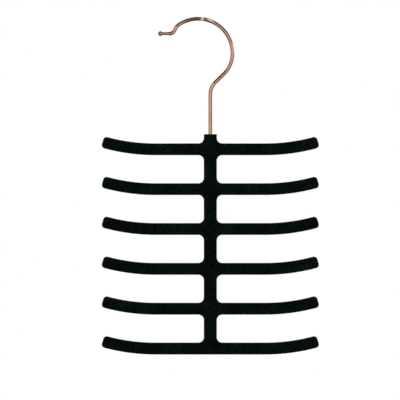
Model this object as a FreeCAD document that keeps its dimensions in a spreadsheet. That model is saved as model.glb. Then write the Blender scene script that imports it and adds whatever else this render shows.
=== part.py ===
import FreeCAD
import Part

import math
import os

import Sketcher
from FreeCAD import Vector

# Slim flocked tie hanger: a moulded fishbone core, the flock coat over it, and a wire hook that turns in a
# bush in the neck. Millimetres, +Z up, arms along X, thickness along Y. The origin is the point of the
# hook's crown that rests on a closet rod.

# Driving dimensions: millimetres, degrees where the name says angle, and one count
SIZES = {
    # Moulded core, without its coat
    "core_thickness": 5.0,
    "spine_width": 12.0,
    "neck_height": 9.2,  # from the first tier's upper edge to the neck's top
    "arm_width": 10.8,
    "arm_straight": 55.0,  # from the spine's axis to where an arm starts to curl up
    "arm_curve_radius": 191.0,
    "arm_curve_length": 52.9,
    "tier_count": 6,
    "tier_pitch": 39.85,
    "root_fillet": 5.9,
    "tip_corner": 3.1,
    "edge_round": 1.2,
    "neck_round": 0.3,
    "boss_wall": 1.1,
    "boss_floor": 4.0,  # solid plastic under the bore, before the taper
    "boss_taper": 9.0,
    "boss_sink": 0.4,  # how far the taper's end lies under the core's face
    # Flock
    "flock_thickness": 0.5,
    "flock_mouth_gap": 0.15,
    # Hook wire along its centre line, from the shank up over the crown to the tip
    "wire_diameter": 3.8,
    "hook_height": 113.5,  # from the coated top of the neck to the rod
    "hook_offset": 12.2,  # from the rod's centre to the shank
    "neck_bend_radius": 17.0,
    "slant_angle": 45.8,
    "flank_radius": 28.7,
    "flank_angle": 41.0,
    "crown_radius": 34.3,
    "nose_radius": 8.1,
    "nose_angle": 29.2,
    "nose_slope_angle": 64.6,
    "nose_length": 2.5,
    "tip_bend_radius": 5.4,
    "tip_run": 9.3,  # from the last bend to the ball's centre
    "tip_taper": 2.2,
    "tip_neck_diameter": 2.9,
    "tip_ball_diameter": 4.8,
    # Swivel
    "running_clearance": 0.05,
    "bush_wall": 0.95,
    "bush_length": 11.0,
    "bush_chamfer": 0.25,
    "axial_play": 0.1,
    "washer_thickness": 0.6,
    "head_thickness": 1.8,
    "head_chamfer": 0.35,
    "head_clearance": 0.3,
    "bore_floor_gap": 0.5,
}

# Sizes that follow from those, as expressions on the sheet. A depth is measured down from the rod.
TIERS = "round(dims.tier_count)"
TIER_SPAN = f"(({TIERS} - 1) * dims.tier_pitch)"
CORE_NECK_TOP = "(dims.neck_height + dims.arm_width / 2)"
FIRST_TIER_DEPTH = f"(dims.hook_height + dims.flock_thickness + {CORE_NECK_TOP})"
BUSH_BORE = "(dims.wire_diameter + 2 * dims.running_clearance)"
BUSH_OUTER = f"({BUSH_BORE} + 2 * dims.bush_wall)"
BOSS_OUTER = f"({BUSH_OUTER} + 2 * dims.boss_wall)"
HEAD_OUTER = f"({BUSH_OUTER} - 2 * dims.head_clearance)"
WASHER_DEPTH = "(dims.hook_height + dims.bush_length + dims.axial_play)"
HEAD_DEPTH = f"({WASHER_DEPTH} + dims.washer_thickness)"
FOOT_DEPTH = f"({HEAD_DEPTH} + dims.head_thickness)"
BORE_LENGTH = f"({FOOT_DEPTH} + dims.bore_floor_gap - dims.hook_height)"

# A fillet takes at most this share of the wall or gap that it lies on
FILLET_SHARE = 0.45
ROOT_GAP = "min(2 * dims.neck_height; dims.tier_pitch - dims.arm_width)"
ROOT_FILLET = f"min(dims.root_fillet; {FILLET_SHARE} * {ROOT_GAP})"
TIP_CORNER = f"min(dims.tip_corner; {FILLET_SHARE} * dims.arm_width)"
EDGE_ROUND = f"min(dims.edge_round; {FILLET_SHARE} * dims.core_thickness)"

# How a sketch names its points and axes
START, END, CENTRE = range(1, 4)
LEVEL_AXIS, UPRIGHT_AXIS = range(-1, -3, -1)
ORIGIN = (LEVEL_AXIS, START)

# Directions in an upright sketch, in degrees from its level axis
UP_ANGLE = 90
LEFT_ANGLE = 180
DOWN_ANGLE = 270
FULL_TURN = 360
DEGREES = "(180 / pi)"

TOLERANCE = 1e-4

doc = FreeCAD.newDocument("tie_hanger")
dims = doc.addObject("Spreadsheet::Sheet", "dims")
for row, (alias, value) in enumerate(SIZES.items(), start=1):
    dims.set(f"A{row}", alias)
    dims.set(f"B{row}", str(value))
    dims.setAlias(f"B{row}", alias)
doc.recompute()


def size(expression):
    """Value of an expression on the sheet."""
    return float(dims.evalExpression(expression))


def new_body(label):
    """Empty body whose label names its node."""
    body = doc.addObject("PartDesign::Body", label)
    body.Label = label
    return body


def new_sketch(body, name, role):
    """Sketch on one of the body's own origin planes."""
    sketch = body.newObject("Sketcher::SketchObject", name)
    plane = next(feature for feature in body.Origin.OriginFeatures if feature.Role == role)
    sketch.AttachmentSupport = (plane, [""])
    sketch.MapMode = "FlatFace"
    return sketch


def join(sketch, joints):
    """Add the constraints that have no size."""
    for joint in joints:
        sketch.addConstraint(Sketcher.Constraint(*joint))


def drive(sketch, kind, where, expression):
    """Dimension a sketch and bind the dimension to the sheet. Angles are bound in degrees."""
    value = size(expression)
    if kind == "Angle":
        value = math.radians(value)
    index = sketch.addConstraint(Sketcher.Constraint(kind, *where, value))
    sketch.setExpression(f"Constraints[{index}]", expression)


def point(x, z):
    """Point of an upright sketch."""
    return Vector(x, z, 0)


def polar(centre, radius, angle):
    """Point at a radius and an angle in degrees round a centre."""
    turn = math.radians(angle)
    return centre + point(radius * math.cos(turn), radius * math.sin(turn))


def circle(centre, radius):
    return Part.Circle(centre, Vector(0, 0, 1), radius)


def arc(centre, radius, start, end):
    """Counter-clockwise arc between two angles in degrees."""
    return Part.ArcOfCircle(circle(centre, radius), math.radians(start), math.radians(end))


def pad(body, sketch, name, length, symmetric=False):
    """Sketch pushed out to a length, or half of it to each side."""
    feature = body.newObject("PartDesign::Pad", name)
    feature.Profile = sketch
    feature.setExpression("Length", length)
    if symmetric:
        feature.SideType = "Symmetric"
    doc.recompute()
    return feature


def turned(body, sketch, name, axis):
    """Half section turned all the way round one of its sketch's axes."""
    feature = body.newObject("PartDesign::Revolution", name)
    feature.Profile = sketch
    feature.ReferenceAxis = (sketch, [axis])
    feature.Angle = FULL_TURN
    feature.Refine = False
    doc.recompute()
    return feature


def dressed(body, kind, base, name, length, amount, wanted):
    """Fillet or chamfer on the edges of a feature that pass a test."""
    names = [f"Edge{index}" for index, edge in enumerate(base.Shape.Edges, start=1) if wanted(edge)]
    feature = body.newObject(kind, name)
    feature.Base = (base, names)
    feature.setExpression(length, amount)
    doc.recompute()
    return feature


def rounded(body, base, name, radius, wanted):
    return dressed(body, "PartDesign::Fillet", base, name, "Radius", radius, wanted)


def chamfered(body, base, name, width, wanted):
    return dressed(body, "PartDesign::Chamfer", base, name, "Size", width, wanted)


def lies_at(edge, axis, level):
    """True where a whole edge lies in a plane square to an axis."""
    return all(abs(getattr(spot, axis) - level) < TOLERANCE for spot in edge.discretize(3))


def runs_through(edge):
    """True for a straight edge from the front of the plate to its back."""
    depth = edge.valueAt(edge.LastParameter).y - edge.valueAt(edge.FirstParameter).y
    return abs(depth) > edge.Length - TOLERANCE


def spine_sketch(body, grow):
    """Upright bar from the neck's top to the lower edge of the last tier."""
    half = f"(dims.spine_width / 2 + {grow})"
    top = f"({CORE_NECK_TOP} + {grow})"
    foot = f"({TIER_SPAN} + dims.arm_width / 2 + {grow})"
    sketch = new_sketch(body, f"{body.Label}_spine_outline", "XZ_Plane")
    top_left = point(-size(half), size(top))
    top_right = point(size(half), size(top))
    foot_right = point(size(half), -size(foot))
    foot_left = point(-size(half), -size(foot))
    rim, right, floor, left = range(4)
    sketch.addGeometry([
        Part.LineSegment(top_left, top_right),
        Part.LineSegment(top_right, foot_right),
        Part.LineSegment(foot_right, foot_left),
        Part.LineSegment(foot_left, top_left),
    ])
    join(sketch, (
        ("Coincident", rim, END, right, START),
        ("Coincident", right, END, floor, START),
        ("Coincident", floor, END, left, START),
        ("Coincident", left, END, rim, START),
        ("Horizontal", rim),
        ("Vertical", right),
        ("Horizontal", floor),
        ("Vertical", left),
    ))
    drive(sketch, "DistanceX", (*ORIGIN, right, START), half)
    drive(sketch, "DistanceX", (left, START, *ORIGIN), half)
    drive(sketch, "DistanceY", (*ORIGIN, rim, START), top)
    drive(sketch, "DistanceY", (floor, START, *ORIGIN), foot)
    return sketch


def tier_sketch(body, grow):
    """One tier: a straight bar across the spine, with both ends curled up on an arc and cut off square."""
    half = f"(dims.arm_width / 2 + {grow})"
    sweep = f"((dims.arm_curve_length + {grow}) / dims.arm_curve_radius * {DEGREES})"
    upper_radius = f"(dims.arm_curve_radius - {half})"
    lower_radius = f"(dims.arm_curve_radius + {half})"
    sketch = new_sketch(body, f"{body.Label}_tier_outline", "XZ_Plane")
    right = point(size("dims.arm_straight"), size("dims.arm_curve_radius"))
    left = point(-right.x, right.y)
    turn = size(sweep)
    upper = size(upper_radius)
    lower = size(lower_radius)
    down = DOWN_ANGLE
    top, upper_right, tip_right, lower_right, bottom, lower_left, tip_left, upper_left = range(8)
    sketch.addGeometry([
        Part.LineSegment(polar(left, upper, down), polar(right, upper, down)),
        arc(right, upper, down, down + turn),
        Part.LineSegment(polar(right, upper, down + turn), polar(right, lower, down + turn)),
        arc(right, lower, down, down + turn),
        Part.LineSegment(polar(right, lower, down), polar(left, lower, down)),
        arc(left, lower, down - turn, down),
        Part.LineSegment(polar(left, lower, down - turn), polar(left, upper, down - turn)),
        arc(left, upper, down - turn, down),
    ])
    join(sketch, (
        ("Tangent", top, END, upper_right, START),
        ("Tangent", top, START, upper_left, END),
        ("Tangent", bottom, START, lower_right, START),
        ("Tangent", bottom, END, lower_left, END),
        ("Coincident", upper_right, END, tip_right, START),
        ("Coincident", tip_right, END, lower_right, END),
        ("Coincident", lower_left, START, tip_left, START),
        ("Coincident", tip_left, END, upper_left, START),
        ("Coincident", upper_right, CENTRE, lower_right, CENTRE),
        ("Coincident", upper_left, CENTRE, lower_left, CENTRE),
        ("Symmetric", upper_right, CENTRE, upper_left, CENTRE, UPRIGHT_AXIS),
        ("Equal", upper_right, upper_left),
        ("Equal", lower_right, lower_left),
    ))
    drive(sketch, "Radius", (upper_right,), upper_radius)
    drive(sketch, "Radius", (lower_right,), lower_radius)
    drive(sketch, "DistanceX", (*ORIGIN, upper_right, CENTRE), "dims.arm_straight")
    drive(sketch, "DistanceY", (bottom, START, *ORIGIN), half)
    for curve in (upper_right, lower_right, lower_left, upper_left):
        drive(sketch, "Angle", (curve,), sweep)
    return sketch


def boss_sketch(body, grow):
    """Half section of the round boss that holds the bush, rounded at its rim and tapered into the plate."""
    radius = f"({BOSS_OUTER} / 2 + {grow})"
    rim_round = f"(dims.neck_round + {grow})"
    end_radius = f"(dims.core_thickness / 2 - dims.boss_sink + {grow})"
    top = f"({CORE_NECK_TOP} + {grow})"
    length = f"({BORE_LENGTH} + dims.boss_floor)"
    sketch = new_sketch(body, f"{body.Label}_boss_outline", "XZ_Plane")
    side = size(radius)
    rim_level = size(top)
    shoulder = point(side, rim_level - size(length))
    taper_end = point(size(end_radius), shoulder.y - size("dims.boss_taper"))
    corner = point(side - size(rim_round), rim_level - size(rim_round))
    axis_top = point(0, rim_level)
    axis_foot = point(0, taper_end.y)
    rim, rim_arc, wall, taper, floor, axis = range(6)
    sketch.addGeometry([
        Part.LineSegment(axis_top, point(corner.x, rim_level)),
        arc(corner, size(rim_round), 0, UP_ANGLE),
        Part.LineSegment(point(side, corner.y), shoulder),
        Part.LineSegment(shoulder, taper_end),
        Part.LineSegment(taper_end, axis_foot),
        Part.LineSegment(axis_foot, axis_top),
    ])
    join(sketch, (
        ("Tangent", rim, END, rim_arc, END),
        ("Tangent", rim_arc, START, wall, START),
        ("Coincident", wall, END, taper, START),
        ("Coincident", taper, END, floor, START),
        ("Coincident", floor, END, axis, START),
        ("Coincident", axis, END, rim, START),
        ("Horizontal", rim),
        ("Vertical", wall),
        ("Horizontal", floor),
        ("PointOnObject", axis, START, UPRIGHT_AXIS),
        ("PointOnObject", axis, END, UPRIGHT_AXIS),
    ))
    drive(sketch, "Radius", (rim_arc,), rim_round)
    drive(sketch, "DistanceX", (*ORIGIN, wall, START), radius)
    drive(sketch, "DistanceX", (*ORIGIN, taper, END), end_radius)
    drive(sketch, "DistanceY", (*ORIGIN, rim, START), top)
    drive(sketch, "DistanceY", (wall, END, rim, START), length)
    drive(sketch, "DistanceY", (taper, END, taper, START), "dims.boss_taper")
    return sketch


def fishbone(label, grow):
    """Neck, spine and tiers in one piece, with every face moved out by the grow expression."""
    body = new_body(label)
    body.setExpression("Placement.Base.x", "dims.hook_offset")
    body.setExpression("Placement.Base.z", f"-{FIRST_TIER_DEPTH}")
    thickness = f"(dims.core_thickness + 2 * {grow})"
    face = size(f"{thickness} / 2")
    spine_side = size(f"dims.spine_width / 2 + {grow}")
    neck_top = size(f"{CORE_NECK_TOP} + {grow}")
    arm_middle = size("dims.arm_straight + dims.arm_curve_length / 2")

    pad(body, spine_sketch(body, grow), f"{label}_spine", thickness, symmetric=True)
    tier_outline = tier_sketch(body, grow)
    tier = pad(body, tier_outline, f"{label}_tier", thickness, symmetric=True)
    tiers = body.newObject("PartDesign::LinearPattern", f"{label}_tiers")
    tiers.Originals = [tier]
    tiers.Direction = (tier_outline, ["V_Axis"])
    tiers.Reversed = True
    tiers.setExpression("Length", TIER_SPAN)
    tiers.setExpression("Occurrences", TIERS)
    body.Tip = tiers
    doc.recompute()

    def is_root(edge):
        middle = edge.CenterOfMass
        beside_spine = abs(abs(middle.x) - spine_side) < TOLERANCE
        return runs_through(edge) and beside_spine and middle.z < neck_top - TOLERANCE

    def is_tip_corner(edge):
        return runs_through(edge) and abs(edge.CenterOfMass.x) > arm_middle

    def is_face_outline(edge):
        on_face = lies_at(edge, "y", face) or lies_at(edge, "y", -face)
        return on_face and not lies_at(edge, "z", neck_top)

    def is_neck_rim(edge):
        return lies_at(edge, "z", neck_top)

    roots = rounded(body, tiers, f"{label}_roots", f"{ROOT_FILLET} - {grow}", is_root)
    tips = rounded(body, roots, f"{label}_tips", f"{TIP_CORNER} + {grow}", is_tip_corner)
    edges = rounded(body, tips, f"{label}_edges", f"{EDGE_ROUND} + {grow}", is_face_outline)
    rounded(body, edges, f"{label}_neck_rim", f"dims.neck_round + {grow}", is_neck_rim)
    turned(body, boss_sketch(body, grow), f"{label}_boss", "V_Axis")
    return body


def cylinder(name, diameter, depth, length):
    """Upright cylinder on the shank's axis, from a depth downwards."""
    feature = doc.addObject("Part::Cylinder", name)
    feature.setExpression("Radius", f"{diameter} / 2")
    feature.setExpression("Height", length)
    feature.setExpression("Placement.Base.x", "dims.hook_offset")
    feature.setExpression("Placement.Base.z", f"-{depth} - {length}")
    return feature


def cut(label, base, tool):
    """One shape less another."""
    feature = doc.addObject("Part::Cut", label)
    feature.Label = label
    feature.Base = base
    feature.Tool = tool
    return feature


def ring_body(label, outer, inner, depth, length):
    """Flat ring or sleeve on the shank's axis, from a depth downwards."""
    body = new_body(label)
    body.setExpression("Placement.Base.x", "dims.hook_offset")
    body.setExpression("Placement.Base.z", f"-{depth} - {length}")
    sketch = new_sketch(body, f"{label}_outline", "XY_Plane")
    for index, diameter in enumerate((outer, inner)):
        sketch.addGeometry(circle(Vector(0, 0, 0), size(diameter) / 2))
        join(sketch, [("Coincident", index, CENTRE, *ORIGIN)])
        drive(sketch, "Diameter", (index,), diameter)
    pad(body, sketch, f"{label}_ring", length)
    return body


def hook_path(body):
    """Centre line of the wire from the last bend at the tip, over the crown, to the shank's foot."""
    crown_depth = "(dims.crown_radius - dims.wire_diameter / 2)"
    sketch = new_sketch(body, "hook_path", "XZ_Plane")
    slant = size("dims.slant_angle")
    slope = size("dims.nose_slope_angle")
    crown_start = size("dims.flank_angle") - slant
    nose_end = UP_ANGLE + slope
    crown_end = nose_end - size("dims.nose_angle")
    crown_radius = size("dims.crown_radius")
    flank_radius = size("dims.flank_radius")
    nose_radius = size("dims.nose_radius")
    bend_radius = size("dims.neck_bend_radius")
    tip_radius = size("dims.tip_bend_radius")

    crown = point(0, -size(crown_depth))
    flank = polar(crown, crown_radius - flank_radius, crown_start)
    nose = polar(crown, crown_radius - nose_radius, crown_end)
    nose_top = polar(nose, nose_radius, nose_end)
    nose_foot = polar(nose_top, size("dims.nose_length"), LEFT_ANGLE + slope)
    tip_bend = polar(nose_foot, tip_radius, nose_end)
    flank_foot = polar(flank, flank_radius, -slant)
    shank_x = size("dims.hook_offset")
    bend_top_x = shank_x + bend_radius * (1 - math.cos(math.radians(slant)))
    slant_length = (flank_foot.x - bend_top_x) / math.sin(math.radians(slant))
    bend_top = polar(flank_foot, slant_length, DOWN_ANGLE - slant)
    neck_bend = polar(bend_top, bend_radius, -slant)
    shank_top = polar(neck_bend, bend_radius, LEFT_ANGLE)

    tip_arc, nose_line, nose_arc, crown_arc, flank_arc, slant_line, neck_arc, shank = range(8)
    sketch.addGeometry([
        arc(tip_bend, tip_radius, DOWN_ANGLE, DOWN_ANGLE + slope),
        Part.LineSegment(nose_foot, nose_top),
        arc(nose, nose_radius, crown_end, nose_end),
        arc(crown, crown_radius, crown_start, crown_end),
        arc(flank, flank_radius, -slant, crown_start),
        Part.LineSegment(bend_top, flank_foot),
        arc(neck_bend, bend_radius, LEFT_ANGLE - slant, LEFT_ANGLE),
        Part.LineSegment(shank_top, point(shank_x, -size(FOOT_DEPTH))),
    ])
    join(sketch, (
        ("Tangent", tip_arc, END, nose_line, START),
        ("Tangent", nose_line, END, nose_arc, END),
        ("Tangent", nose_arc, START, crown_arc, END),
        ("Tangent", crown_arc, START, flank_arc, END),
        ("Tangent", flank_arc, START, slant_line, END),
        ("Tangent", slant_line, START, neck_arc, START),
        ("Tangent", neck_arc, END, shank, START),
        ("Vertical", shank),
        ("Vertical", tip_arc, START, tip_arc, CENTRE),
        ("PointOnObject", crown_arc, CENTRE, UPRIGHT_AXIS),
    ))
    drive(sketch, "DistanceY", (crown_arc, CENTRE, *ORIGIN), crown_depth)
    drive(sketch, "Radius", (crown_arc,), "dims.crown_radius")
    drive(sketch, "Radius", (flank_arc,), "dims.flank_radius")
    drive(sketch, "Radius", (nose_arc,), "dims.nose_radius")
    drive(sketch, "Radius", (neck_arc,), "dims.neck_bend_radius")
    drive(sketch, "Radius", (tip_arc,), "dims.tip_bend_radius")
    drive(sketch, "Angle", (flank_arc,), "dims.flank_angle")
    drive(sketch, "Angle", (nose_arc,), "dims.nose_angle")
    drive(sketch, "Angle", (slant_line,), f"{UP_ANGLE} - dims.slant_angle")
    drive(sketch, "Angle", (nose_line,), "dims.nose_slope_angle")
    drive(sketch, "Distance", (nose_line,), "dims.nose_length")
    drive(sketch, "DistanceX", (*ORIGIN, shank, END), "dims.hook_offset")
    drive(sketch, "DistanceY", (shank, END, *ORIGIN), FOOT_DEPTH)
    for name, kind in (("tip_reach", "DistanceX"), ("tip_drop", "DistanceY")):
        index = sketch.addConstraint(Sketcher.Constraint(kind, tip_arc, START, *ORIGIN, 0.0))
        sketch.setDriving(index, False)
        sketch.renameConstraint(index, name)
    return sketch


def tip_sketch(body):
    """Half section of the rolled-down tip: a taper from the wire, a thin neck and the ball."""
    wire = "(dims.wire_diameter / 2)"
    neck = "(dims.tip_neck_diameter / 2)"
    ball = "(dims.tip_ball_diameter / 2)"
    reach = "hook_path.Constraints.tip_reach"
    drop = "hook_path.Constraints.tip_drop"
    sketch = new_sketch(body, "tip_outline", "XZ_Plane")
    start = point(-size(reach), -size(drop))
    wire_side = start + point(0, size(wire))
    taper_end = start + point(-size("dims.tip_taper"), size(neck))
    centre = start + point(-size("dims.tip_run"), 0)
    neck_angle = math.degrees(math.asin(size(neck) / size(ball)))
    face, taper, neck_line, ball_arc, middle, axis = range(6)
    sketch.addGeometry([
        Part.LineSegment(start, wire_side),
        Part.LineSegment(wire_side, taper_end),
        Part.LineSegment(taper_end, polar(centre, size(ball), neck_angle)),
        arc(centre, size(ball), neck_angle, LEFT_ANGLE),
        Part.LineSegment(polar(centre, size(ball), LEFT_ANGLE), start),
    ])
    sketch.addGeometry(Part.LineSegment(start, centre), True)
    join(sketch, (
        ("Coincident", face, END, taper, START),
        ("Coincident", taper, END, neck_line, START),
        ("Coincident", neck_line, END, ball_arc, START),
        ("Coincident", ball_arc, END, middle, START),
        ("Coincident", middle, END, face, START),
        ("Coincident", axis, START, face, START),
        ("Coincident", axis, END, ball_arc, CENTRE),
        ("Vertical", face),
        ("Horizontal", neck_line),
        ("Horizontal", middle),
        ("Horizontal", axis),
    ))
    drive(sketch, "DistanceX", (face, START, *ORIGIN), reach)
    drive(sketch, "DistanceY", (face, START, *ORIGIN), drop)
    drive(sketch, "DistanceY", (face, START, face, END), wire)
    drive(sketch, "DistanceX", (taper, END, face, START), "dims.tip_taper")
    drive(sketch, "DistanceY", (face, START, taper, END), neck)
    drive(sketch, "DistanceX", (axis, END, axis, START), "dims.tip_run")
    drive(sketch, "Radius", (ball_arc,), ball)
    return sketch


def shank_circle(body, name, diameter, depth):
    """Level circle round the shank's axis, at a depth."""
    sketch = new_sketch(body, name, "XY_Plane")
    sketch.setExpression("AttachmentOffset.Base.z", f"-{depth}")
    sketch.addGeometry(circle(Vector(size("dims.hook_offset"), 0, 0), size(diameter) / 2))
    join(sketch, [("PointOnObject", 0, CENTRE, LEVEL_AXIS)])
    drive(sketch, "DistanceX", (*ORIGIN, 0, CENTRE), "dims.hook_offset")
    drive(sketch, "Diameter", (0,), diameter)
    return sketch


def swivel_hook():
    """Bent wire with its ball tip and, at the shank's foot, the head that carries the hanger."""
    body = new_body("swivel_hook")
    path = hook_path(body)
    wire = body.newObject("PartDesign::AdditivePipe", "hook_wire")
    wire.Profile = shank_circle(body, "wire_section", "dims.wire_diameter", FOOT_DEPTH)
    wire.Spine = path
    doc.recompute()
    head_outline = shank_circle(body, "head_outline", HEAD_OUTER, FOOT_DEPTH)
    head = pad(body, head_outline, "hook_head", "dims.head_thickness")
    foot = -size(FOOT_DEPTH)
    chamfered(body, head, "hook_foot", "dims.head_chamfer", lambda edge: lies_at(edge, "z", foot))
    turned(body, tip_sketch(body), "hook_tip", "Axis0")
    return body


def hanger_core(blank):
    """Moulded fishbone with the blind bore for the swivel in its neck."""
    bore = cylinder("neck_bore", BUSH_OUTER, "dims.hook_height", BORE_LENGTH)
    return cut("hanger_core", blank, bore)


def flock_coat(blank, core):
    """Even skin over the core, open round the bush."""
    skin = cut("flock_skin", blank, core)
    mouth_diameter = f"({BUSH_OUTER} + 2 * dims.flock_mouth_gap)"
    mouth = cylinder("flock_mouth", mouth_diameter, "dims.hook_height", "dims.flock_thickness")
    return cut("flock_coat", skin, mouth)


def swivel_bush():
    """Sleeve pressed into the neck, level with the flock, with a lead-in chamfer at its foot."""
    body = ring_body("swivel_bush", BUSH_OUTER, BUSH_BORE, "dims.hook_height", "dims.bush_length")
    outer = size(f"{BUSH_OUTER} / 2")

    def is_outer_foot(edge):
        return lies_at(edge, "z", 0) and abs(edge.Curve.Radius - outer) < TOLERANCE

    chamfered(body, body.Tip, "bush_lead_in", "dims.bush_chamfer", is_outer_foot)
    return body


def thrust_washer():
    """Flat ring that lies on the hook's head, under the bush."""
    return ring_body("thrust_washer", HEAD_OUTER, BUSH_BORE, WASHER_DEPTH, "dims.washer_thickness")


core_blank = fishbone("core_blank", "0")
flock_blank = fishbone("flock_blank", "dims.flock_thickness")
nodes = [
    hanger_core(core_blank),
    flock_coat(flock_blank, core_blank),
    swivel_hook(),
    swivel_bush(),
    thrust_washer(),
]
doc.recompute()

failed = [thing.Name for thing in doc.Objects if {"Invalid", "Error"} & set(thing.State)]
if failed:
    raise RuntimeError(f"These objects failed: {failed}")
for node in nodes:
    if node.Shape.isNull() or not node.Shape.isValid() or len(node.Shape.Solids) != 1:
        raise RuntimeError(f"{node.Label} isn't one valid solid")

os.makedirs("parts", exist_ok=True)
for node in nodes:
    node.Shape.exportStep(f"parts/{node.Label}.step")
    print(f"{node.Label}: {node.Shape.Volume:.1f} cubic mm")
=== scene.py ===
import math

import bmesh
import bpy
from mathutils import Matrix, Vector


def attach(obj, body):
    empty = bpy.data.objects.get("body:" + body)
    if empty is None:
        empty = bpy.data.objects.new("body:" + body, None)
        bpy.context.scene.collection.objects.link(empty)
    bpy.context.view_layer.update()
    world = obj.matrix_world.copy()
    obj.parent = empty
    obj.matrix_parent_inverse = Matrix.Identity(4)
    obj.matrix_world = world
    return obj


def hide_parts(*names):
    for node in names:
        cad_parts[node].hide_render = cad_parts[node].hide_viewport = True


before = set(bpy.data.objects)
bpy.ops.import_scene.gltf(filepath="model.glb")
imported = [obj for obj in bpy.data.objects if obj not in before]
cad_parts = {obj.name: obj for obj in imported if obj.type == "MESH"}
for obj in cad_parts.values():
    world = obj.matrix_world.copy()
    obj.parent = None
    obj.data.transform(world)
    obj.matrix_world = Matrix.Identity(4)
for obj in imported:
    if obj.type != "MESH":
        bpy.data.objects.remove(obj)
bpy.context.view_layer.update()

# Hanger core: one black injection moulding with a neck, a spine and twelve arms, taken over from the frame.
# The flock is glued to its fine spark-eroded grain and hides all of it.

MM = 0.001
CORE_GRAIN = 0.35 * MM
CORE_RELIEF = 0.02 * MM
CORE_FLOW_MARK = 9 * MM
CORE_FLOW_STRETCH = (1, 1, 0.2)
CORE_SHADES = ((0.3, (0.009, 0.009, 0.010)), (0.7, (0.016, 0.016, 0.017)))
CORE_ROUGHNESS = (0.42, 0.58)

FINE_DETAIL = 3.0
NOISE_RANGE = (0.3, 0.7)  # where nearly all values of a noise lie


def new_finish(name):
    """Material with nodes: gives the material, its node tree and its main shader."""
    finish = bpy.data.materials.new(name)
    finish.use_nodes = True
    return finish, finish.node_tree, finish.node_tree.nodes["Principled BSDF"]


def add_node(tree, kind, **settings):
    """Node of a kind, with its settings."""
    node = tree.nodes.new(kind)
    for name, value in settings.items():
        setattr(node, name, value)
    return node


def join(tree, value, socket):
    """Link a socket to an input, or set the input to a plain value."""
    if isinstance(value, bpy.types.NodeSocket):
        tree.links.new(value, socket)
    else:
        socket.default_value = value


def feed(tree, node, **values):
    """Join values to a node's inputs by name, where _ stands for a space."""
    for name, value in values.items():
        join(tree, value, node.inputs[name.replace("_", " ")])


def places(tree):
    """Object coordinates, in metres."""
    return add_node(tree, "ShaderNodeTexCoord").outputs["Object"]


def stretched(tree, vector, scale):
    """Coordinates scaled along each axis."""
    node = add_node(tree, "ShaderNodeMapping")
    feed(tree, node, Vector=vector, Scale=scale)
    return node.outputs["Vector"]


def speckle(tree, vector, grain, detail=2.0, roughness=0.5):
    """Noise whose grains are about so many metres across."""
    node = add_node(tree, "ShaderNodeTexNoise")
    feed(tree, node, Vector=vector, Scale=1 / grain, Detail=detail, Roughness=roughness)
    return node.outputs["Fac"]


def between(tree, value, source, target):
    """Value mapped softly from one range to another, and held inside it."""
    node = add_node(tree, "ShaderNodeMapRange", interpolation_type="SMOOTHSTEP")
    feed(tree, node, Value=value, From_Min=source[0], From_Max=source[1], To_Min=target[0], To_Max=target[1])
    return node.outputs["Result"]


def shades(tree, value, stops):
    """Colour ramp from pairs of a place and a colour."""
    node = add_node(tree, "ShaderNodeValToRGB")
    ramp = node.color_ramp
    while len(ramp.elements) < len(stops):
        ramp.elements.new(1.0)
    for element, (place, colour) in zip(ramp.elements, stops):
        element.position = place
        element.color = (*colour, 1.0)
    feed(tree, node, Fac=value)
    return node.outputs["Color"]


def relief(tree, height, depth, strength=1.0):
    """Bump of a depth in metres, as a normal."""
    node = add_node(tree, "ShaderNodeBump")
    feed(tree, node, Height=height, Distance=depth, Strength=strength)
    return node.outputs["Normal"]


def core_plastic():
    """Black polypropylene with a fine moulded grain and faint flow marks."""
    finish, tree, shader = new_finish("core_plastic")
    spot = places(tree)
    grain = speckle(tree, spot, CORE_GRAIN, detail=FINE_DETAIL)
    flow = speckle(tree, stretched(tree, spot, CORE_FLOW_STRETCH), CORE_FLOW_MARK)
    feed(tree, shader, Base_Color=shades(tree, flow, CORE_SHADES))
    feed(tree, shader, Roughness=between(tree, grain, NOISE_RANGE, CORE_ROUGHNESS))
    feed(tree, shader, Normal=relief(tree, grain, CORE_RELIEF))
    return finish


def dress(node_name, finish):
    """Give a frame node its finish."""
    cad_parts[node_name].data.materials.clear()
    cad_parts[node_name].data.materials.append(finish)


dress("hanger_core", core_plastic())

# Flock coat: short black nylon fibres shot into wet glue over the whole core, half a millimetre deep.
# It softens every edge, wraps the round boss in the neck, and is left open round the bush.

SHANK_X = 12.2 * MM
NECK_TOP = -113.5 * MM
COAT_THICKNESS = 6.0 * MM
COAT_DEPTH = 0.45 * MM  # a little less than the pile, so that the skin stays clear of the core
SPINE_HALF = 6.5 * MM
ARM_HALF = 5.9 * MM
ARM_STRAIGHT = 55.0 * MM
ARM_CURVE_RADIUS = 191.0 * MM
ARM_CURVE_LENGTH = 53.4 * MM
TIER_COUNT = 6
TIER_PITCH = 39.85 * MM
FIRST_TIER_DROP = 15.1 * MM
ROOT_FILLET = 5.4 * MM
TIP_CORNER = 3.6 * MM
EDGE_ROUND = 1.7 * MM
RIM_ROUND = 0.8 * MM
BOSS_RADIUS = 4.5 * MM
BOSS_LENGTH = 18.0 * MM
BOSS_TAPER = 9.0 * MM
BOSS_END_RADIUS = 2.6 * MM
BOSS_BLEND = 0.7 * MM
MOUTH_RADIUS = 3.05 * MM
MOUTH_LIP = 0.12 * MM
PILE_SWELL = 0.08 * MM
SWELL_SIZE = 7 * MM

FILLET_STEPS = 12
CURL_STEPS = 24
EDGE_STEPS = 6
RIM_STEPS = 4
LIP_STEPS = 2
BOSS_PITCH = 0.75 * MM
NECK_PITCH = 1.2 * MM
ARM_PITCH = 3.0 * MM
SIDE_PITCH = 0.65 * MM

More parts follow.
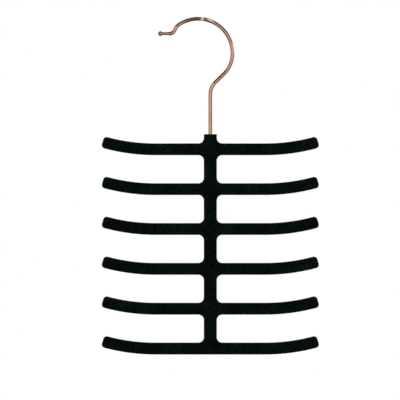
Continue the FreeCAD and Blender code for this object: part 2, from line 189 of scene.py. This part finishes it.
FIBRE_SIZE = 0.3 * MM
FIBRE_ROUGHNESS = 0.7
FIBRE_RELIEF = 0.15 * MM
FIBRE_RELIEF_STRENGTH = 0.6
TUFT_SIZE = 2.2 * MM
NAP_SIZE = 22 * MM
FIBRE_SHARE, TUFT_SHARE, NAP_SHARE = 0.45, 0.33, 0.22
FLOCK_SHADES = (
    (0.41, (0.0003, 0.0010, 0.0007)),
    (0.50, (0.0012, 0.0035, 0.0026)),
    (0.60, (0.0039, 0.0088, 0.0069)),
)
FLOCK_ROUGHNESS = (0.86, 1.0)
FLOCK_SPECULAR = 0.03
SHEEN_TINT = (0.66, 0.82, 0.76, 1.0)
SHEEN_WEIGHT = 0.45
SHEEN_ROUGHNESS = 0.3

QUARTER = math.pi / 2
SNAP = 0.01 * MM
RULE_SNAP = 0.1 * MM
ACROSS, THROUGH, UPRIGHT = Matrix.Identity(3)


def draw_to(mesh, tip, x, z):
    """Straight run of an outline from its last point; gives the new last point."""
    drawn = bmesh.ops.extrude_vert_indiv(mesh, verts=[tip])["verts"][0]
    drawn.co = (x, 0, z)
    return drawn


def points_in(parts):
    """The points among an operator's results."""
    return [part for part in parts if isinstance(part, bmesh.types.BMVert)]


def draw_arc(mesh, tip, centre, angle, steps):
    """Arc of an outline about a centre, clockwise as seen from the front; gives the new last point."""
    swept = bmesh.ops.spin(mesh, geom=[tip], cent=centre, axis=THROUGH, angle=angle, steps=steps)
    return points_in(swept["geom_last"])[0]


def draw_arm(mesh, tip, level):
    """Right arm of a tier, from its upper root out round the tip and back along its lower edge."""
    curl_centre = Vector((ARM_STRAIGHT, 0, level + ARM_CURVE_RADIUS))
    curl = ARM_CURVE_LENGTH / ARM_CURVE_RADIUS
    upper = ARM_CURVE_RADIUS - ARM_HALF
    lower = ARM_CURVE_RADIUS + ARM_HALF
    upper_inset = math.asin(TIP_CORNER / (upper + TIP_CORNER))
    lower_inset = math.asin(TIP_CORNER / (lower - TIP_CORNER))

    def on_curl(radius, angle):
        return curl_centre + radius * Vector((math.sin(angle), 0, -math.cos(angle)))

    upper_corner = on_curl(upper + TIP_CORNER, curl - upper_inset)
    lower_corner = on_curl(lower - TIP_CORNER, curl - lower_inset)
    end_run = lower_corner - upper_corner
    root = Vector((SPINE_HALF + ROOT_FILLET, 0, level + ARM_HALF + ROOT_FILLET))
    tip = draw_to(mesh, tip, SPINE_HALF, root.z)
    tip = draw_arc(mesh, tip, root, -QUARTER, FILLET_STEPS)
    tip = draw_to(mesh, tip, ARM_STRAIGHT, level + ARM_HALF)
    tip = draw_arc(mesh, tip, curl_centre, upper_inset - curl, CURL_STEPS)
    tip = draw_arc(mesh, tip, upper_corner, QUARTER - upper_inset, FILLET_STEPS)
    tip = draw_to(mesh, tip, tip.co.x + end_run.x, tip.co.z + end_run.z)
    tip = draw_arc(mesh, tip, lower_corner, QUARTER + lower_inset, FILLET_STEPS)
    return draw_arc(mesh, tip, curl_centre, curl - lower_inset, CURL_STEPS)


def fishbone_plate():
    """Closed plate in the coat's outline, round the spine's axis, with square edges."""
    mesh = bmesh.new()
    tip = bmesh.ops.create_vert(mesh, co=(0, 0, NECK_TOP))["vert"][0]
    tip = draw_to(mesh, tip, SPINE_HALF, NECK_TOP)
    level = NECK_TOP - FIRST_TIER_DROP
    for tier in range(TIER_COUNT):
        tip = draw_arm(mesh, tip, level)
        if tier < TIER_COUNT - 1:
            root = Vector((SPINE_HALF + ROOT_FILLET, 0, level - ARM_HALF - ROOT_FILLET))
            tip = draw_to(mesh, tip, root.x, level - ARM_HALF)
            tip = draw_arc(mesh, tip, root, -QUARTER, FILLET_STEPS)
            level -= TIER_PITCH
    draw_to(mesh, tip, 0, level - ARM_HALF)
    outline = mesh.verts[:] + mesh.edges[:]
    bmesh.ops.mirror(mesh, geom=outline, matrix=Matrix.Identity(4), merge_dist=SNAP, axis="X")
    bmesh.ops.remove_doubles(mesh, verts=mesh.verts[:], dist=SNAP)
    bmesh.ops.edgeloop_fill(mesh, edges=mesh.edges[:])
    bmesh.ops.translate(mesh, verts=mesh.verts[:], vec=THROUGH * -COAT_THICKNESS / 2)
    back = bmesh.ops.extrude_face_region(mesh, geom=mesh.faces[:], use_keep_orig=True)["geom"]
    bmesh.ops.translate(mesh, verts=points_in(back), vec=THROUGH * COAT_THICKNESS)
    bmesh.ops.recalc_face_normals(mesh, faces=mesh.faces[:])
    return mesh


def round_over(mesh, edges, radius, segments):
    """Roll the edges over to a radius."""
    bmesh.ops.bevel(
        mesh, geom=edges, offset=radius, offset_type="OFFSET", affect="EDGES",
        segments=segments, profile=0.5, material=-1,
    )


def rule(mesh, axis, start, end, pitch):
    """Rule the faces into strips across an axis, from one place to another."""
    count = round(abs(end - start) / pitch)
    for index in range(count + 1):
        place = start + (end - start) * index / count
        whole = mesh.verts[:] + mesh.edges[:] + mesh.faces[:]
        bmesh.ops.bisect_plane(mesh, geom=whole, dist=RULE_SNAP, plane_co=place * axis, plane_no=axis)


def wrap_boss(mesh):
    """Push the front and back of the neck out over the round boss, with a soft crease."""
    for vert in mesh.verts:
        drop = NECK_TOP - vert.co.z
        taper = min(max((drop - BOSS_LENGTH) / BOSS_TAPER, 0), 1)
        radius = BOSS_RADIUS + (BOSS_END_RADIUS - BOSS_RADIUS) * taper
        if drop > BOSS_LENGTH + BOSS_TAPER or abs(vert.co.x) >= radius:
            continue
        face = abs(vert.co.y)
        boss = math.sqrt(radius ** 2 - vert.co.x ** 2)
        share = min(max(0.5 + (boss - face) / BOSS_BLEND / 2, 0), 1)
        depth = face + (boss - face) * share + BOSS_BLEND / 2 * share * (1 - share)
        vert.co.y = math.copysign(depth, vert.co.y)


def is_on_top(part):
    """Whether an edge or a face lies in the flat top of the neck."""
    return all(abs(vert.co.z - NECK_TOP) < SNAP for vert in part.verts)


def roll_rim(mesh):
    """Make the neck's top one face again and roll its rim over; gives what is left of the face."""
    bmesh.ops.delete(mesh, geom=[face for face in mesh.faces if is_on_top(face)], context="FACES")
    rim = [edge for edge in mesh.edges if edge.is_boundary]
    top = bmesh.ops.edgeloop_fill(mesh, edges=rim)["faces"][0]
    bmesh.ops.recalc_face_normals(mesh, faces=mesh.faces[:])
    bmesh.ops.translate(mesh, verts=top.verts[:], vec=UPRIGHT * -RIM_ROUND)
    for step in range(RIM_STEPS):
        low, high = (QUARTER * index / RIM_STEPS for index in (step, step + 1))
        inwards = RIM_ROUND * (math.cos(low) - math.cos(high))
        upwards = RIM_ROUND * (math.sin(high) - math.sin(low))
        bmesh.ops.inset_region(mesh, faces=[top], use_even_offset=True, thickness=inwards, depth=upwards)
    return top


def open_mouth(mesh, top):
    """Open a round mouth in the neck's top, with a wall that goes down to the core."""
    bmesh.ops.inset_region(mesh, faces=[top], use_even_offset=True, thickness=MOUTH_LIP)
    for vert in top.verts:
        outwards = Vector((vert.co.x, vert.co.y, 0)).normalized()
        vert.co = outwards * MOUTH_RADIUS + UPRIGHT * NECK_TOP
    bmesh.ops.delete(mesh, geom=[top], context="FACES_ONLY")
    lip = [edge for edge in mesh.edges if edge.is_boundary]
    wall = bmesh.ops.extrude_edge_only(mesh, edges=lip)["geom"]
    bmesh.ops.translate(mesh, verts=points_in(wall), vec=UPRIGHT * -COAT_DEPTH)
    bmesh.ops.recalc_face_normals(mesh, faces=mesh.faces[:])
    round_over(mesh, lip, MOUTH_LIP, LIP_STEPS)


def coat_shape():
    """Outer skin of the coat, in its place on the hanger."""
    mesh = fishbone_plate()
    corners = [edge for edge in mesh.edges if abs(edge.verts[0].co.y - edge.verts[1].co.y) < SNAP]
    round_over(mesh, [edge for edge in corners if not is_on_top(edge)], EDGE_ROUND, EDGE_STEPS)
    side_half = COAT_THICKNESS / 2 - EDGE_ROUND - SIDE_PITCH
    foot = NECK_TOP - FIRST_TIER_DROP - (TIER_COUNT - 1) * TIER_PITCH
    boss_foot = NECK_TOP - BOSS_LENGTH - BOSS_TAPER
    rule(mesh, ACROSS, -BOSS_RADIUS, BOSS_RADIUS, BOSS_PITCH)
    for side in (-1, 1):
        arm_root = side * (SPINE_HALF + NECK_PITCH)
        arm_end = side * (ARM_STRAIGHT + ARM_CURVE_LENGTH - TIP_CORNER)
        rule(mesh, ACROSS, arm_root, arm_end, ARM_PITCH)
    rule(mesh, UPRIGHT, boss_foot, NECK_TOP - 2 * RIM_ROUND, NECK_PITCH)
    rule(mesh, UPRIGHT, foot - ARM_PITCH, boss_foot - ARM_PITCH, ARM_PITCH)
    rule(mesh, THROUGH, -side_half, side_half, SIDE_PITCH)
    wrap_boss(mesh)
    open_mouth(mesh, roll_rim(mesh))
    bmesh.ops.translate(mesh, verts=mesh.verts[:], vec=ACROSS * SHANK_X)
    return mesh


def make_piece(name, mesh, finish):
    """Object from a mesh, smooth and with one finish."""
    for face in mesh.faces:
        face.smooth = True
    data = bpy.data.meshes.new(name)
    mesh.to_mesh(data)
    mesh.free()
    data.materials.append(finish)
    piece = bpy.data.objects.new(name, data)
    bpy.context.scene.collection.objects.link(piece)
    return piece


def reckon(tree, operation, first, second):
    """Sum, product or the like of two values."""
    node = add_node(tree, "ShaderNodeMath", operation=operation)
    join(tree, first, node.inputs[0])
    join(tree, second, node.inputs[1])
    return node.outputs["Value"]


def black_flock():
    """Near-black pile with a breath of green: fibres, tufts, and patches where the nap lies another way."""
    finish, tree, shader = new_finish("black_flock")
    spot = places(tree)
    fibres = speckle(tree, spot, FIBRE_SIZE, detail=FINE_DETAIL, roughness=FIBRE_ROUGHNESS)
    tufts = speckle(tree, spot, TUFT_SIZE)
    nap = speckle(tree, spot, NAP_SIZE)
    pile = reckon(tree, "MULTIPLY", fibres, FIBRE_SHARE)
    pile = reckon(tree, "ADD", pile, reckon(tree, "MULTIPLY", tufts, TUFT_SHARE))
    pile = reckon(tree, "ADD", pile, reckon(tree, "MULTIPLY", nap, NAP_SHARE))
    feed(tree, shader, Base_Color=shades(tree, pile, FLOCK_SHADES))
    feed(tree, shader, Roughness=between(tree, tufts, NOISE_RANGE, FLOCK_ROUGHNESS))
    feed(tree, shader, Specular_IOR_Level=FLOCK_SPECULAR)
    feed(tree, shader, Sheen_Weight=SHEEN_WEIGHT, Sheen_Roughness=SHEEN_ROUGHNESS, Sheen_Tint=SHEEN_TINT)
    feed(tree, shader, Normal=relief(tree, fibres, FIBRE_RELIEF, FIBRE_RELIEF_STRENGTH))
    return finish


flock = make_piece("velvet_coat", coat_shape(), black_flock())
unevenness = bpy.data.textures.new("pile_unevenness", "CLOUDS")
unevenness.noise_scale = SWELL_SIZE
swell = flock.modifiers.new("swell", "DISPLACE")
swell.texture = unevenness
swell.strength = PILE_SWELL
skin = flock.modifiers.new("skin", "SOLIDIFY")
skin.thickness = COAT_DEPTH
skin.offset = -1
flock.modifiers.new("flat_faces", "WEIGHTED_NORMAL")
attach(flock, "hanger")
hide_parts("flock_coat")

# Swivel bush: a turned brass sleeve pressed into the neck, level with the flock. The shank runs in it.
# Only its end ring shows, with the fine rings that the tool left.

RISING = (0.0, 1.0)
RING_SCALE = 2800
RING_DISTORTION = 0.6
RING_RELIEF = 0.002 * MM
STAIN_SIZE = 1.5 * MM
BRASS_SHADES = ((0.3, (0.52, 0.34, 0.13)), (0.7, (0.74, 0.53, 0.25)))
BRASS_ROUGHNESS = (0.25, 0.42)


def turned_metal(name, colours, roughness):
    """Turned metal: rings round the shank's axis, between a smooth and a rough finish, and a little stain."""
    finish, tree, shader = new_finish(name)
    spot = places(tree)
    centred = add_node(tree, "ShaderNodeMapping")
    feed(tree, centred, Vector=spot, Location=ACROSS * -SHANK_X)
    rings = add_node(tree, "ShaderNodeTexWave", wave_type="RINGS", rings_direction="Z")
    feed(tree, rings, Vector=centred.outputs["Vector"], Scale=RING_SCALE, Distortion=RING_DISTORTION)
    stain = speckle(tree, spot, STAIN_SIZE, detail=FINE_DETAIL)
    feed(tree, shader, Base_Color=shades(tree, stain, colours), Metallic=1.0)
    feed(tree, shader, Roughness=between(tree, rings.outputs["Fac"], RISING, roughness))
    feed(tree, shader, Normal=relief(tree, rings.outputs["Fac"], RING_RELIEF))
    return finish


dress("swivel_bush", turned_metal("bush_brass", BRASS_SHADES, BRASS_ROUGHNESS))

# Thrust washer: a stamped steel ring that lies on the hook's head, under the bush, and carries the load.
# It is closed in the neck.

STEEL_SHADES = ((0.3, (0.42, 0.42, 0.43)), (0.7, (0.60, 0.60, 0.61)))
STEEL_ROUGHNESS = (0.28, 0.45)

dress("thrust_washer", turned_metal("washer_steel", STEEL_SHADES, STEEL_ROUGHNESS))

# Swivel hook: drawn steel wire, bent on pins, with an upset ball at the tip and an upset head at its foot.
# It is polished and plated in rose gold, which rubs a little where the crown rests on a rod.

WIRE_RADIUS = 1.9 * MM
HEAD_RADIUS = 2.6 * MM
HEAD_CHAMFER = 0.35 * MM
HEAD_THICKNESS = 1.8 * MM
FOOT_Z = -127.0 * MM
SHANK_LENGTH = 51.554 * MM
NECK_BEND_RADIUS = 17.0 * MM
SLANT_ANGLE = math.radians(45.8)
SLANT_LENGTH = 11.495 * MM
FLANK_RADIUS = 28.7 * MM
FLANK_ANGLE = math.radians(41.0)
CROWN_RADIUS = 34.3 * MM
CROWN_ANGLE = math.radians(130.2)
NOSE_RADIUS = 8.1 * MM
NOSE_ANGLE = math.radians(29.2)
NOSE_SLOPE = math.radians(64.6)
NOSE_LENGTH = 2.5 * MM
TIP_BEND_RADIUS = 5.4 * MM
TIP_RUN = 9.3 * MM
TIP_TAPER = 2.2 * MM
TIP_NECK_RADIUS = 1.45 * MM
TIP_BALL_RADIUS = 2.4 * MM

WIRE_SIDES = 40
BEND_STEP = 0.9 * MM
RUN_STEPS = 4
SHANK_STEPS = 24
BALL_STEPS = 18

FALLING = (1.0, 0.0)
DRAWING_LINE = 0.35 * MM
LINE_STRETCH = (1, 1, 0.02)
LINE_RELIEF = 0.0015 * MM
CLOUD_SIZE = 6 * MM
SCUFF_SIZE = 0.5 * MM
SCUFF_STRETCH = (0.25, 0.25, 1)
SCUFF_RANGE = (0.45, 0.65)
SEAT_REACH = 11 * MM
ROSE_GOLD_SHADES = ((0.3, (0.56, 0.33, 0.225)), (0.7, (0.64, 0.385, 0.265)))
WORN_GOLD = (0.62, 0.47, 0.39, 1.0)
POLISH_ROUGHNESS = (0.06, 0.13)
WORN_ROUGHNESS = 0.12


class WireBender:
    """Feeds out a round wire from a capped end, and keeps as 'drawn' each point's place on straight wire."""

    def __init__(self, place, heading, radius):
        self.mesh = bmesh.new()
        self.drawn = self.mesh.verts.layers.float_vector.new("drawn")
        self.place = place
        self.heading = heading
        self.radius = radius
        self.fed = 0.0
        bmesh.ops.create_circle(
            self.mesh, cap_ends=True, segments=WIRE_SIDES, radius=radius, matrix=Matrix.Translation(place)
        )
        self.end = self.mesh.verts[:] + self.mesh.edges[:]
        for vert in self.mesh.verts:
            vert[self.drawn] = (vert.co - place).normalized() * WIRE_RADIUS

    def step(self, length, centre, angle):
        """One ring further on: straight along the heading, or round a centre."""
        self.fed += length
        straight = self.heading * length if angle == 0 else Vector()
        grown = bmesh.ops.spin(
            self.mesh, geom=self.end, cent=centre, axis=THROUGH, dvec=straight, angle=angle, steps=1
        )
        self.end = grown["geom_last"]
        turn = Matrix.Rotation(angle, 3, THROUGH)
        self.place = centre + turn @ (self.place - centre) + straight
        self.heading = turn @ self.heading
        for vert in points_in(self.end):
            vert[self.drawn].z = self.fed

    def run(self, length, radius=None, steps=1):
        """Straight wire that widens or narrows to a radius."""
        start = self.radius
        target = radius or start
        for index in range(1, steps + 1):
            self.step(length / steps, self.place, 0)
            wanted = start + (target - start) * index / steps
            growth = Vector((1, 1, 1)) * wanted / self.radius
            middle = Matrix.Translation(-self.place)
            bmesh.ops.scale(self.mesh, verts=points_in(self.end), vec=growth, space=middle)
            self.radius = wanted

    def bend(self, radius, angle):
        """Arc to the right of the heading, seen from the front, or to the left for a negative angle."""
        side = Vector((self.heading.z, 0, -self.heading.x))
        centre = self.place + side * math.copysign(radius, angle)
        steps = math.ceil(radius * abs(angle) / BEND_STEP)
        for _ in range(steps):
            self.step(radius * abs(angle) / steps, centre, angle / steps)

    def ball(self, radius):
        """Ball that grows out of the wire's end and closes in one point."""
        neck_angle = math.asin(self.radius / radius)
        ring_angle = (math.pi - neck_angle) / BALL_STEPS
        for ring in range(1, BALL_STEPS):
            angle = neck_angle + ring * ring_angle
            ahead = radius * (math.cos(angle - ring_angle) - math.cos(angle))
            self.run(ahead, radius * math.sin(angle))
        self.run(radius * (1 - math.cos(ring_angle)))
        bmesh.ops.pointmerge(self.mesh, verts=points_in(self.end), merge_co=self.place)


def hook_shape():
    """Hook from the head at its foot up over the crown to the ball."""
    wire = WireBender(Vector((SHANK_X, 0, FOOT_Z)), UPRIGHT, HEAD_RADIUS - HEAD_CHAMFER)
    wire.run(HEAD_CHAMFER, HEAD_RADIUS)
    wire.run(HEAD_THICKNESS - HEAD_CHAMFER)
    wire.run(0, WIRE_RADIUS)
    wire.run(SHANK_LENGTH, steps=SHANK_STEPS)
    wire.bend(NECK_BEND_RADIUS, SLANT_ANGLE)
    wire.run(SLANT_LENGTH, steps=RUN_STEPS)
    wire.bend(FLANK_RADIUS, -FLANK_ANGLE)
    wire.bend(CROWN_RADIUS, -CROWN_ANGLE)
    wire.bend(NOSE_RADIUS, -NOSE_ANGLE)
    wire.run(NOSE_LENGTH, steps=RUN_STEPS)
    wire.bend(TIP_BEND_RADIUS, NOSE_SLOPE)
    wire.run(TIP_TAPER, TIP_NECK_RADIUS, steps=RUN_STEPS)
    ball_start = math.sqrt(TIP_BALL_RADIUS ** 2 - TIP_NECK_RADIUS ** 2)
    wire.run(TIP_RUN - TIP_TAPER - ball_start, steps=RUN_STEPS)
    wire.ball(TIP_BALL_RADIUS)
    bmesh.ops.recalc_face_normals(wire.mesh, faces=wire.mesh.faces[:])
    return wire.mesh


def rose_gold_plate():
    """Polished plating: drawing lines along the wire, faint clouds, and a rubbed seat under the crown."""
    finish, tree, shader = new_finish("rose_gold_plate")
    spot = places(tree)
    drawn = add_node(tree, "ShaderNodeAttribute", attribute_name="drawn").outputs["Vector"]
    lines = speckle(tree, stretched(tree, drawn, LINE_STRETCH), DRAWING_LINE)
    clouds = speckle(tree, spot, CLOUD_SIZE)
    seat = add_node(tree, "ShaderNodeVectorMath", operation="LENGTH")
    feed(tree, seat, Vector=spot)
    level = add_node(tree, "ShaderNodeSeparateXYZ")
    feed(tree, level, Vector=spot)
    near_rod = between(tree, seat.outputs["Value"], (WIRE_RADIUS, SEAT_REACH), FALLING)
    underside = between(tree, level.outputs["Z"], (0.0, WIRE_RADIUS), FALLING)
    rubbed = reckon(tree, "MULTIPLY", near_rod, underside)
    scuffs = speckle(tree, stretched(tree, drawn, SCUFF_STRETCH), SCUFF_SIZE, detail=FINE_DETAIL)
    worn = reckon(tree, "MULTIPLY", rubbed, between(tree, scuffs, SCUFF_RANGE, RISING))
    colour = add_node(tree, "ShaderNodeMix", data_type="RGBA")
    join(tree, worn, colour.inputs["Factor"])
    join(tree, shades(tree, clouds, ROSE_GOLD_SHADES), colour.inputs["A"])
    join(tree, WORN_GOLD, colour.inputs["B"])
    polish = between(tree, lines, NOISE_RANGE, POLISH_ROUGHNESS)
    roughness = reckon(tree, "ADD", polish, reckon(tree, "MULTIPLY", worn, WORN_ROUGHNESS))
    feed(tree, shader, Base_Color=colour.outputs["Result"], Metallic=1.0, Roughness=roughness)
    feed(tree, shader, Normal=relief(tree, lines, LINE_RELIEF))
    return finish


hook = make_piece("hook_wire", hook_shape(), rose_gold_plate())
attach(hook, "hook")
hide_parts("swivel_hook")

# Studio: a pale round floor well under the hanging piece, soft lamps in front and above, a white surround.
# Cards round the crown glow by themselves and are mirrored only by the polished wire, as painted reflections:
# dark ones paint its dark edges and a dark top, and three narrow bright ones paint the small glints on it.

FLOOR_Z = -0.45
FLOOR_RADIUS = 4.0
FLOOR_SIDES = 96
FLOOR_COLOUR = (0.87, 0.87, 0.87, 1.0)
FLOOR_ROUGHNESS = 0.9
FLOOR_SPECULAR = 0.1
FADE_RANGE = (0.35, 0.68)
IN_PLAN = (1, 1, 0)
# Painted dark reflection: the dark glow that the wire mirrors as its dark edges and dark top.
PAINTED_DARK_REFLECTION = (0.12, 0.092, 0.074, 1.0)
PAINTED_DARK_REFLECTION_GLOW = 1.0
# Painted glints: a bluish glow, eight times white, so that the glints mirrored on the rose gold read near
# white.
PAINTED_GLINT = (0.42, 0.74, 1.0, 1.0)
PAINTED_GLINT_GLOW = 8.0
BLACK = (0.0, 0.0, 0.0, 1.0)
WHITE = (1.0, 1.0, 1.0, 1.0)
SURROUND = 0.45


def seen_directly(tree):
    """One for camera, mirror and glass rays, and nought for the light that falls on things."""
    path = add_node(tree, "ShaderNodeLightPath").outputs
    mirrored = reckon(tree, "MAXIMUM", path["Is Glossy Ray"], path["Is Transmission Ray"])
    return reckon(tree, "MAXIMUM", path["Is Camera Ray"], mirrored)


def mix_shaders(tree, factor, first, second, output):
    """Send a mix of two shaders to the output."""
    mix = add_node(tree, "ShaderNodeMixShader")
    for value, socket in zip((factor, first.outputs[0], second.outputs[0]), mix.inputs):
        join(tree, value, socket)
    join(tree, mix.outputs[0], tree.nodes[output].inputs["Surface"])


def floor_paint():
    """Pale matt paint that fades to the white surround away from the piece."""
    finish, tree, shader = new_finish("floor_paint")
    feed(tree, shader, Base_Color=FLOOR_COLOUR, Roughness=FLOOR_ROUGHNESS, Specular_IOR_Level=FLOOR_SPECULAR)
    distance = add_node(tree, "ShaderNodeVectorMath", operation="LENGTH")
    feed(tree, distance, Vector=stretched(tree, places(tree), IN_PLAN))
    far = between(tree, distance.outputs["Value"], FADE_RANGE, RISING)
    white = add_node(tree, "ShaderNodeEmission")
    feed(tree, white, Color=WHITE)
    mix_shaders(tree, reckon(tree, "MULTIPLY", far, seen_directly(tree)), shader, white, "Material Output")
    return finish


def painted_reflection_finish(name, colour, glow):
    """Even card that glows by itself with a set colour and is seen only in the wire's mirror: a painted
    reflection, dark or as a glint.
    """
    finish, tree, shader = new_finish(name)
    feed(tree, shader, Base_Color=BLACK, Specular_IOR_Level=0.0)
    feed(tree, shader, Emission_Color=colour, Emission_Strength=glow)
    return finish


floor_mesh = bmesh.new()
floor_place = Matrix.Translation(UPRIGHT * FLOOR_Z)
bmesh.ops.create_circle(
    floor_mesh, cap_ends=True, segments=FLOOR_SIDES, radius=FLOOR_RADIUS, matrix=floor_place
)
make_piece("floor", floor_mesh, floor_paint())

dark = painted_reflection_finish("painted_dark_reflection_card", PAINTED_DARK_REFLECTION, PAINTED_DARK_REFLECTION_GLOW)
bright = painted_reflection_finish("painted_glint_card", PAINTED_GLINT, PAINTED_GLINT_GLOW)
CARDS = (  # name, finish, turn in degrees, distance from the crown, width, reach to the back and to the front
    ("top_card", dark, 0, 0.5, 1.2, 0.75, 1.5),
    ("upper_right_card", dark, 57, 0.55, 0.3, 0.6, 0.6),
    ("inner_right_card", dark, 240, 0.5, 0.26, 0.45, 0.6),
    ("lower_right_card", dark, 116, 0.54, 0.5, 0.6, 0.3),
    ("bottom_card", dark, 180, 0.44, 1.2, 0.6, 0.45),
    ("low_front_card", dark, 180, 0.43, 0.4, 0.8, 1.5),
    ("left_card", dark, 270, 0.6, 1.2, 0.6, 0.3),
    ("card_above_lens", dark, 0, 0.02, 0.018, -0.06, 1.95),
    ("card_below_lens", dark, 180, 0.02, 0.018, -0.07, 1.95),
    # Painted glints: narrow glowing cards, no lamps, placed so that the crown mirrors them as its two small
    # glints.
    ("upper_glint_card", bright, 6.8, 0.3, 0.01, -0.05, 0.85),
    ("lower_glint_card", bright, 186.6, 0.17, 0.0054, -0.029, 0.48),
    ("front_glint_card", bright, 20.2, 0.243, 0.032, -0.25, 0.75),
)
# Each card shows only in the wire's mirror and is hidden from the camera, from the light that falls on things
# and from shadows: a painted reflection.
for name, finish, turn, distance, width, back, front in CARDS:
    card_mesh = bmesh.new()
    spread = Matrix.Diagonal((width / 2, (back + front) / 2, 1, 1))
    out = Matrix.Translation((0, (back - front) / 2, distance))
    round_crown = Matrix.Rotation(math.radians(turn), 4, THROUGH)
    bmesh.ops.create_grid(card_mesh, x_segments=1, y_segments=1, size=1, matrix=round_crown @ out @ spread)
    card = make_piece(name, card_mesh, finish)
    card.visible_camera = False
    card.visible_diffuse = False
    card.visible_shadow = False
    card.visible_transmission = False

BODY_MIDDLE = Vector((0.012, 0.0, -0.2))
LAMPS = (  # name, place, width and power in watts of a square lamp turned to the middle of the body
    ("key_lamp", (-1.1, -1.5, 1.4), 1.0, 22),
    ("fill_lamp", (1.3, -1.4, 1.0), 1.2, 11),
    ("top_lamp", (0.2, 0.3, 1.6), 1.2, 8),
)
for name, place, width, power in LAMPS:
    light = bpy.data.lights.new(name, "AREA")
    light.size = width
    light.energy = power
    lamp = bpy.data.objects.new(name, light)
    lamp.location = place
    lamp.rotation_euler = (BODY_MIDDLE - Vector(place)).to_track_quat("-Z", "Y").to_euler()
    lamp.visible_camera = False
    lamp.visible_glossy = False
    bpy.context.scene.collection.objects.link(lamp)

world = bpy.data.worlds.new("surround")
world.use_nodes = True
bpy.context.scene.world = world
soft_light = world.node_tree.nodes["Background"]
feed(world.node_tree, soft_light, Color=WHITE, Strength=SURROUND)
white_ground = add_node(world.node_tree, "ShaderNodeBackground")
feed(world.node_tree, white_ground, Color=WHITE, Strength=1.0)
mix_shaders(world.node_tree, seen_directly(world.node_tree), soft_light, white_ground, "World Output")

# Camera: straight in front of the piece and far off, so that it looks flat.
# The frame is 0.4 m wide at the piece, one pixel to the millimetre.

VIEW_CENTRE = Vector((1.87 * MM, 0, -179.3 * MM))
VIEW_DISTANCE = 2.0
VIEW_WIDTH = 0.4
camera_data = bpy.data.cameras.new("front_camera")
camera_data.lens = camera_data.sensor_width * VIEW_DISTANCE / VIEW_WIDTH
camera = bpy.data.objects.new("front_camera", camera_data)
camera.location = VIEW_CENTRE - THROUGH * VIEW_DISTANCE
camera.rotation_euler = (QUARTER, 0, 0)
bpy.context.scene.collection.objects.link(camera)
bpy.context.scene.camera = camera
bpy.context.scene.view_settings.view_transform = "Standard"
